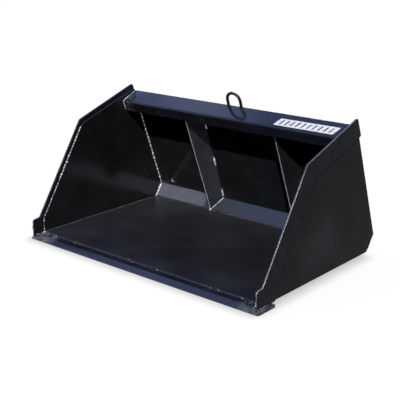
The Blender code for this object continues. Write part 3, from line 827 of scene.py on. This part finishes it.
def weld_lifting_loop():
    """A ring of weld round each foot of the lifting loop."""
    low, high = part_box("lifting_loop")
    middle = (low.x + high.x) / 2.0
    feet = Beads("weld_lifting_loop", DARK_WELD, "lifting_loop")
    centre = LIP_BEND - LIP_ALONG * 0.120
    for hand in (-1.0, 1.0):
        ring = []
        for index in range(LOOP_STEPS + 1):
            turn = 2.0 * math.pi * index / LOOP_STEPS
            spot = centre + LIP_ALONG * (math.sin(turn) * 0.0115)
            ring.append(Vector((middle + hand * LOOP_FOOT + math.cos(turn) * 0.0110,
                                spot.y + ORIGIN.y, spot.z)))
        feet.run(ring, 0.0036, pitch=0.006, uneven=0.3)
    feet.finish()


def weld_floor_front():
    """Floor plate's front edge on the cutting edge, broken at each bolt hole."""
    front = Beads("weld_floor_front", SKY_REFLECTION_WELD, "floor_plate")
    ends = Beads("weld_floor_front_ends", TOE_WELD, "floor_plate")
    holes = sorted([side * x for x in HOLE_X for side, _ in HANDS])
    starts = [-WALL_X + 0.003] + [x + HOLE_CLEAR for x in holes]
    stops = [x - HOLE_CLEAR for x in holes] + [WALL_X - 0.003]
    for start, stop in zip(starts, stops):
        # Between the holes the bead carries a painted sky reflection.
        front.run([at(start, FLOOR_FRONT - 0.002, EDGE_TOP + 0.0025),
                   at(stop, FLOOR_FRONT - 0.002, EDGE_TOP + 0.0025)],
                  0.0044, pitch=0.008, uneven=0.18)
    for x in holes:
        for hand in (-1.0, 1.0):
            tip = x + hand * 0.024
            ends.run([at(tip + hand * 0.009, FLOOR_FRONT - 0.003, EDGE_TOP + 0.003),
                      at(tip - hand * 0.007, FLOOR_FRONT - 0.006, EDGE_TOP + 0.0025)],
                     0.0032, pitch=0.008, uneven=0.45, depth=0.7)
        ends.blob(at(x + rng.uniform(-0.012, 0.012), FLOOR_FRONT + 0.003, FLOOR_TOP + 0.0005), 0.0026)
    for index in range(6):
        ends.blob(at(-WALL_X + 0.012 + 0.026 * (index + rng.uniform(-0.2, 0.2)),
                     FLOOR_FRONT + rng.uniform(-0.006, 0.002), EDGE_TOP + 0.003),
                  rng.uniform(0.0050, 0.0065) - 0.0006 * index)
    front.finish()
    ends.finish()


# ---------------------------------------------------------------- welds of the rear
def weld_coupler():
    """The attach plate all round, its hook, flange, ears and hook gussets."""
    low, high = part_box("attach_plate")
    half = (high.x - low.x) / 2.0
    reach = half - 0.01
    rear = Beads("weld_coupler", REAR_WELD, "attach_plate")
    for up in (0.010, 0.471):
        rear.stitch(back(-reach, up, 0.0035), back(reach, up, 0.0035), 0.0048, 0.09, 0.05,
                    step=0.003)
    for hand in (-1.0, 1.0):
        outside, inside = hand * (half + 0.0105), hand * (half - 0.001)
        rear.run([back(outside, 0.03, 0.002), back(outside, 0.46, 0.002)], 0.0046, step=0.003)
        rear.run([back(inside, 0.05, 0.0115), back(inside, 0.45, 0.0115)], 0.0034, step=0.003)
    for up, radius, gap in ((0.4565, 0.0040, 0.06), (0.045, 0.0042, 0.05)):
        rear.stitch(back(-reach, up, 0.0115), back(reach, up, 0.0115), radius, 0.12, gap,
                    step=0.003)
    for index in GUSSETS:
        low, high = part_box("hook_gusset_%d" % index)
        for x in (low.x - 0.001 - ORIGIN.x, high.x + 0.001 - ORIGIN.x):
            rear.run([back(x, 0.476, 0.001), back(x, 0.540, 0.001)], 0.0036, step=0.003)
            rear.run([back(x, 0.464, 0.018), back(x, 0.436, 0.046)], 0.0030, step=0.003)
    rear.finish()


def weld_rear_seams():
    """Rear sheet's side edges on the side plates, and the lip along its top."""
    seams = Beads("weld_rear_seams", REAR_WELD, "rear_sheet")
    for side, _ in HANDS:
        x = side * (WALL_X + 0.001)
        seams.run([back(x, 0.012, 0.0006), back(x, 0.735, 0.0006)], 0.0034, step=0.003)
        seams.run([on(x, BACK_OUTER + HEEL_DOWN * 0.008), on(x, BACK_OUTER + HEEL_DOWN * 0.095)],
                  0.0034, step=0.003)
    under_lip = LIP_REAR - LIP_NORMAL * 0.004 + profile(0.0015, 0.0)
    seams.run([on(-WALL_X + 0.01, under_lip), on(WALL_X - 0.01, under_lip)], 0.0034, step=0.003)
    seams.finish()


for side, word in HANDS:
    weld_side_front(side, word)
    weld_toe(side, word)
    weld_strip_seam(side, word)
    weld_side_top(side, word)
    weld_back_corner(side, word)
    weld_floor_side(side, word)
    weld_lip_end(side, word)
weld_floor_heel()
weld_spatter_back()
for side, word in HANDS:
    weld_stiffener(side, word)
weld_lifting_loop()
weld_floor_front()
weld_coupler()
weld_rear_seams()


# ---------------------------------------------------------------- name mark
FILM = 0.0003
FILM_RISE = 0.0006
FILM_LOW = 0.021
FILM_HIGH = 0.088
FILM_LEFT = 0.362
FILM_RIGHT = 0.770
FILM_SLANT = 0.020
FILM_BORDER = 0.18
FILM_BARS = 11
FILM_GAP = 0.36


def film_quad(verts, faces, x0, x1, u0, u1):
    """Slanted block between two x places and two shares of the mark's height."""
    first = len(verts)
    for rise in (FILM_RISE, FILM_RISE + FILM):
        for x, u in ((x0, u0), (x1, u0), (x1, u1), (x0, u1)):
            depth = FILM_LOW + (FILM_HIGH - FILM_LOW) * u
            spot = LIP_BEND - LIP_ALONG * depth + LIP_NORMAL * rise
            verts.append((ORIGIN.x + x + FILM_SLANT * u, spot.y + ORIGIN.y, spot.z))
    for face in ((3, 2, 1, 0), (4, 5, 6, 7), (0, 1, 5, 4), (1, 2, 6, 5), (2, 3, 7, 6), (3, 0, 4, 7)):
        faces.append(tuple(first + index for index in face))


def name_mark():
    """A plain white film with evenly spaced bars and no lettering."""
    verts, faces = [], []
    film_quad(verts, faces, FILM_LEFT, FILM_RIGHT, 0.0, FILM_BORDER)
    film_quad(verts, faces, FILM_LEFT, FILM_RIGHT, 1.0 - FILM_BORDER, 1.0)
    bar = (FILM_RIGHT - FILM_LEFT) / (FILM_BARS + (FILM_BARS - 1) * FILM_GAP)
    for index in range(FILM_BARS):
        start = FILM_LEFT + index * bar * (1.0 + FILM_GAP)
        film_quad(verts, faces, start, start + bar, FILM_BORDER, 1.0 - FILM_BORDER)
    mesh = bpy.data.meshes.new("name_mark_film")
    mesh.from_pydata(verts, [], faces)
    mesh.update()
    mesh.materials.append(white_film())
    mark = bpy.data.objects.new("name_mark_film", mesh)
    scene.collection.objects.link(mark)
    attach(mark, "root")
    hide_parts("name_mark")


name_mark()


# ---------------------------------------------------------------- studio
GROUND_REACH = 60.0
GROUND_GREYS = (0.080, 0.086)
GROUND_GLOW = 0.905
GROUND_LEVEL = -0.0005
# Size and depth of the painted contact shadow on the ground.
CONTACT_SIDE = 0.055
CONTACT_FRONT = 0.028
CONTACT_DEPTH = 1.05
CONTACT_REACH = 0.118
CONTACT_SHADE = 0.60


def ground_paint():
    """Pale, partly self-lit ground with a painted soft shadow where the bucket stands."""
    g = Graph("studio_floor")
    g.shader.inputs["Roughness"].default_value = 0.9
    g.shader.inputs["Specular IOR Level"].default_value = 0.0
    pale = [(grey, grey, grey) for grey in GROUND_GREYS]
    g.link(g.mix(g.span(g.noise(0.8, 2.0), 0.3, 0.7), pale[0], pale[1]),
           g.shader.inputs["Base Color"])
    low, high = cad_bounds
    squares = []
    for which, start, stop in ((0, low[0] + CONTACT_SIDE, high[0] - CONTACT_SIDE),
                               (1, low[1] + CONTACT_FRONT, low[1] + CONTACT_DEPTH)):
        offset = g.math("SUBTRACT", g.axis(which), (start + stop) / 2.0)
        past = g.math("SUBTRACT", g.math("ABSOLUTE", offset), (stop - start) / 2.0)
        gap = g.math("MAXIMUM", past, 0.0)
        squares.append(g.times(gap, gap))
    away = g.math("SQRT", g.math("ADD", squares[0], squares[1]))
    # Painted contact shadow: the glow dims near the bucket's footprint.
    painted_contact_shadow = g.span(away, 0.0, CONTACT_REACH, CONTACT_SHADE, 1.0)
    g.link(g.mix(painted_contact_shadow, (0.0, 0.0, 0.0), (1.0, 1.0, 1.0)), g.shader.inputs["Emission Color"])
    g.shader.inputs["Emission Strength"].default_value = GROUND_GLOW
    return g.material


def studio_ground():
    corners = [(-GROUND_REACH, -GROUND_REACH, 0.0), (GROUND_REACH, -GROUND_REACH, 0.0),
               (GROUND_REACH, GROUND_REACH, 0.0), (-GROUND_REACH, GROUND_REACH, 0.0)]
    mesh = bpy.data.meshes.new("studio_floor")
    mesh.from_pydata(corners, [], [(0, 1, 2, 3)])
    mesh.materials.append(ground_paint())
    ground = bpy.data.objects.new("studio_floor", mesh)
    ground.location.z = GROUND_LEVEL
    ground.visible_glossy = False
    ground.visible_diffuse = False
    scene.collection.objects.link(ground)
    ground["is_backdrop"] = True
    return ground


def sun(name, direction, strength, angle, lights, colour=(1.0, 1.0, 1.0), shadow=True):
    """A sun that lights only the objects in lights."""
    lamp = bpy.data.lights.new(name, "SUN")
    lamp.energy = strength
    lamp.angle = math.radians(angle)
    lamp.color = colour
    lamp.use_shadow = shadow
    made = bpy.data.objects.new(name, lamp)
    made.rotation_euler = Vector(direction).to_track_quat("-Z", "Y").to_euler()
    scene.collection.objects.link(made)
    group = bpy.data.collections.new(name + "_lights")
    for item in lights:
        group.objects.link(item)
    made.light_linking.receiver_collection = group


def shiny(piece):
    """Whether a piece is a weld bead in the light colours that stand for unpainted metal and painted
    glints.
    """
    welds = (BRIGHT_WELD.name, TOE_WELD.name)
    return piece.name.startswith("weld_") and any(name in piece.data.materials for name in welds)


def studio_lights(ground):
    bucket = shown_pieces()
    beads = [piece for piece in bucket if shiny(piece)]
    sun("key", (-0.46, 0.695, -0.719), 3.0, 1.2, bucket, (1.0, 0.985, 0.96))
    sun("fill", (0.40, -0.78, -0.50), 1.6, 20.0, bucket, (0.95, 0.97, 1.0))
    sun("floor_wash", (0.0, 0.0, -1.0), 3.9, 150.0, [ground])
    sun("bounce", (-0.80, 0.52, -0.30), 1.0, 60.0, [nodes["stiffener_left"]], (0.90, 0.93, 1.0),
        shadow=False)
    sun("glint", (-0.55, 0.80, -0.25), 2.2, 40.0, beads, shadow=False)


# Sky colours from straight down, 0, to straight up, 1, as the gloss sees them.
SKY_STOPS = ((0.0, (0.07, 0.07, 0.075)), (0.46, (0.10, 0.10, 0.11)), (0.50, (0.20, 0.22, 0.28)),
             (0.66, (0.38, 0.47, 0.86)), (0.79, (0.38, 0.50, 1.0)), (0.87, (0.185, 0.27, 0.66)),
             (1.0, (0.12, 0.19, 0.56)))
HAZE_DIRECTION = Vector((-0.634, 0.3055, 0.7105))
HAZE_COLOUR = (0.62, 0.72, 1.25, 1.0)
HAZE_START = 0.9977
SKY_STRENGTH = 1.3
SOFT_LIGHT = ((0.9, 0.93, 1.0, 1.0), 0.07)


def sky_ramp(tree, direction):
    """The sky's colour by height."""
    split = tree.nodes.new("ShaderNodeSeparateXYZ")
    rise = tree.nodes.new("ShaderNodeMapRange")
    ramp = tree.nodes.new("ShaderNodeValToRGB")
    rise.inputs["From Min"].default_value = -1.0
    tree.links.new(direction, split.inputs["Vector"])
    tree.links.new(split.outputs[2], rise.inputs["Value"])
    tree.links.new(rise.outputs["Result"], ramp.inputs["Fac"])
    elements = ramp.color_ramp.elements
    while len(elements) < len(SKY_STOPS):
        elements.new(0.5)
    for element, (place, colour) in zip(elements, SKY_STOPS):
        element.position = place
        element.color = (*colour, 1.0)
    return ramp.outputs["Color"]


def with_haze(tree, direction, colour):
    """A small bright haze in one direction of the sky."""
    aim = tree.nodes.new("ShaderNodeVectorMath")
    aim.operation = "DOT_PRODUCT"
    aim.inputs[1].default_value = HAZE_DIRECTION.normalized()
    glow = tree.nodes.new("ShaderNodeMapRange")
    glow.interpolation_type = "SMOOTHSTEP"
    glow.inputs["From Min"].default_value = HAZE_START
    glow.inputs["From Max"].default_value = 1.0
    haze = tree.nodes.new("ShaderNodeMix")
    haze.data_type = "RGBA"
    haze.inputs[7].default_value = HAZE_COLOUR
    tree.links.new(direction, aim.inputs[0])
    tree.links.new(aim.outputs["Value"], glow.inputs["Value"])
    tree.links.new(glow.outputs["Result"], haze.inputs[0])
    tree.links.new(colour, haze.inputs[6])
    return haze.outputs[2]


def choose(tree, rays, otherwise, chosen):
    """One background for a kind of ray, and another for all others."""
    made = tree.nodes.new("ShaderNodeMixShader")
    tree.links.new(rays, made.inputs["Fac"])
    tree.links.new(otherwise, made.inputs[1])
    tree.links.new(chosen, made.inputs[2])
    return made.outputs[0]


def studio_world():
    """A sky for the gloss, a weak even light for the rest, and white behind the bucket."""
    world = bpy.data.worlds.new("studio")
    world.use_nodes = True
    world.cycles.sampling_method = "NONE"
    scene.world = world
    tree = world.node_tree
    sky = tree.nodes["Background"]
    soft = tree.nodes.new("ShaderNodeBackground")
    white = tree.nodes.new("ShaderNodeBackground")
    direction = tree.nodes.new("ShaderNodeTexCoord").outputs["Generated"]
    colour = with_haze(tree, direction, sky_ramp(tree, direction))
    tree.links.new(colour, sky.inputs["Color"])
    sky.inputs["Strength"].default_value = SKY_STRENGTH
    soft.inputs["Color"].default_value = SOFT_LIGHT[0]
    soft.inputs["Strength"].default_value = SOFT_LIGHT[1]
    white.inputs["Color"].default_value = (1.0, 1.0, 1.0, 1.0)
    rays = tree.nodes.new("ShaderNodeLightPath")
    lit = choose(tree, rays.outputs["Is Glossy Ray"], soft.outputs[0], sky.outputs[0])
    seen = choose(tree, rays.outputs["Is Camera Ray"], lit, white.outputs[0])
    tree.links.new(seen, tree.nodes["World Output"].inputs["Surface"])


def view_tones():
    # Sampling by light tree can lose a linked sun, so every sun is sampled alike.
    scene.cycles.use_light_tree = False
    scene.view_settings.view_transform = "Standard"
    scene.view_settings.use_curve_mapping = True
    tones = scene.view_settings.curve_mapping
    tones.black_level = (0.0022, 0.0023, 0.0034)
    tones.update()


studio_lights(studio_ground())
studio_world()
view_tones()

# ---------------------------------------------------------------- camera
CAMERA_PLACE = (3.2514, -3.8303, 1.8433)
CAMERA_AIM = Vector((-0.6215, 0.7252, -0.2964))
LENS = 77.45
FILM_WIDTH = 36.0

camera_data = bpy.data.cameras.new("camera")
camera_data.lens = LENS
camera_data.sensor_width = FILM_WIDTH
camera = bpy.data.objects.new("camera", camera_data)
camera.location = CAMERA_PLACE
camera.rotation_euler = CAMERA_AIM.to_track_quat("-Z", "Y").to_euler()
scene.collection.objects.link(camera)
scene.camera = camera
